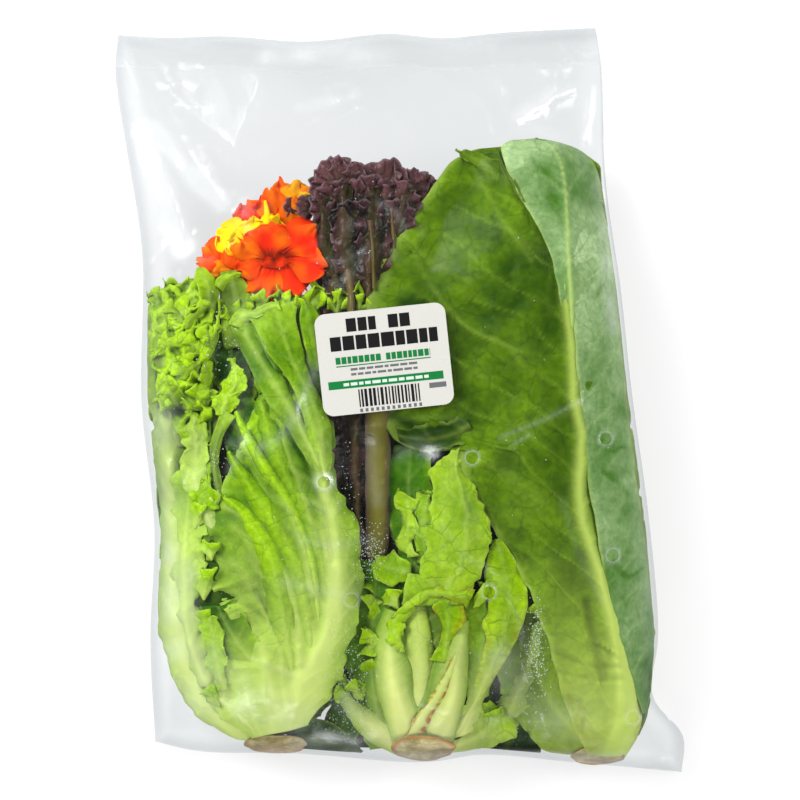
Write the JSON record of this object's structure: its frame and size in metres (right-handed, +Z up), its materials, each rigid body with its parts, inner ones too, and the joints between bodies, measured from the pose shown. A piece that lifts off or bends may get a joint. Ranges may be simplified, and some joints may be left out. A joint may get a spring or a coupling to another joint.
{
  "type": "bag of salad leaves",
  "caption": "Clear film bag packed with mixed lettuce heads, red leaves and edible flowers, with a stuck label, lying on its back.",
  "frame": {"origin": "centre of the footprint, on the surface that the bag lies on", "axes": "+X to the right across the bag with the label facing up, +Y from the bottom seam to the folded top, +Z up out of the surface"},
  "size_m": [0.2676, 0.3506, 0.0628],
  "materials": {
    "film": "clear glossy film; the colour stands for the green leaves seen through it",
    "label": null,
    "green_leaf": "fresh waxy lettuce leaf, yellow-green to deep green, paler at the ribs",
    "red_leaf": "dark red-brown frilled lettuce leaf",
    "petal": "velvety orange-red and yellow flower petals"
  },
  "bodies": {
    "root": {"bag": "film", "label": "label"}
  },
  "joints": []
}
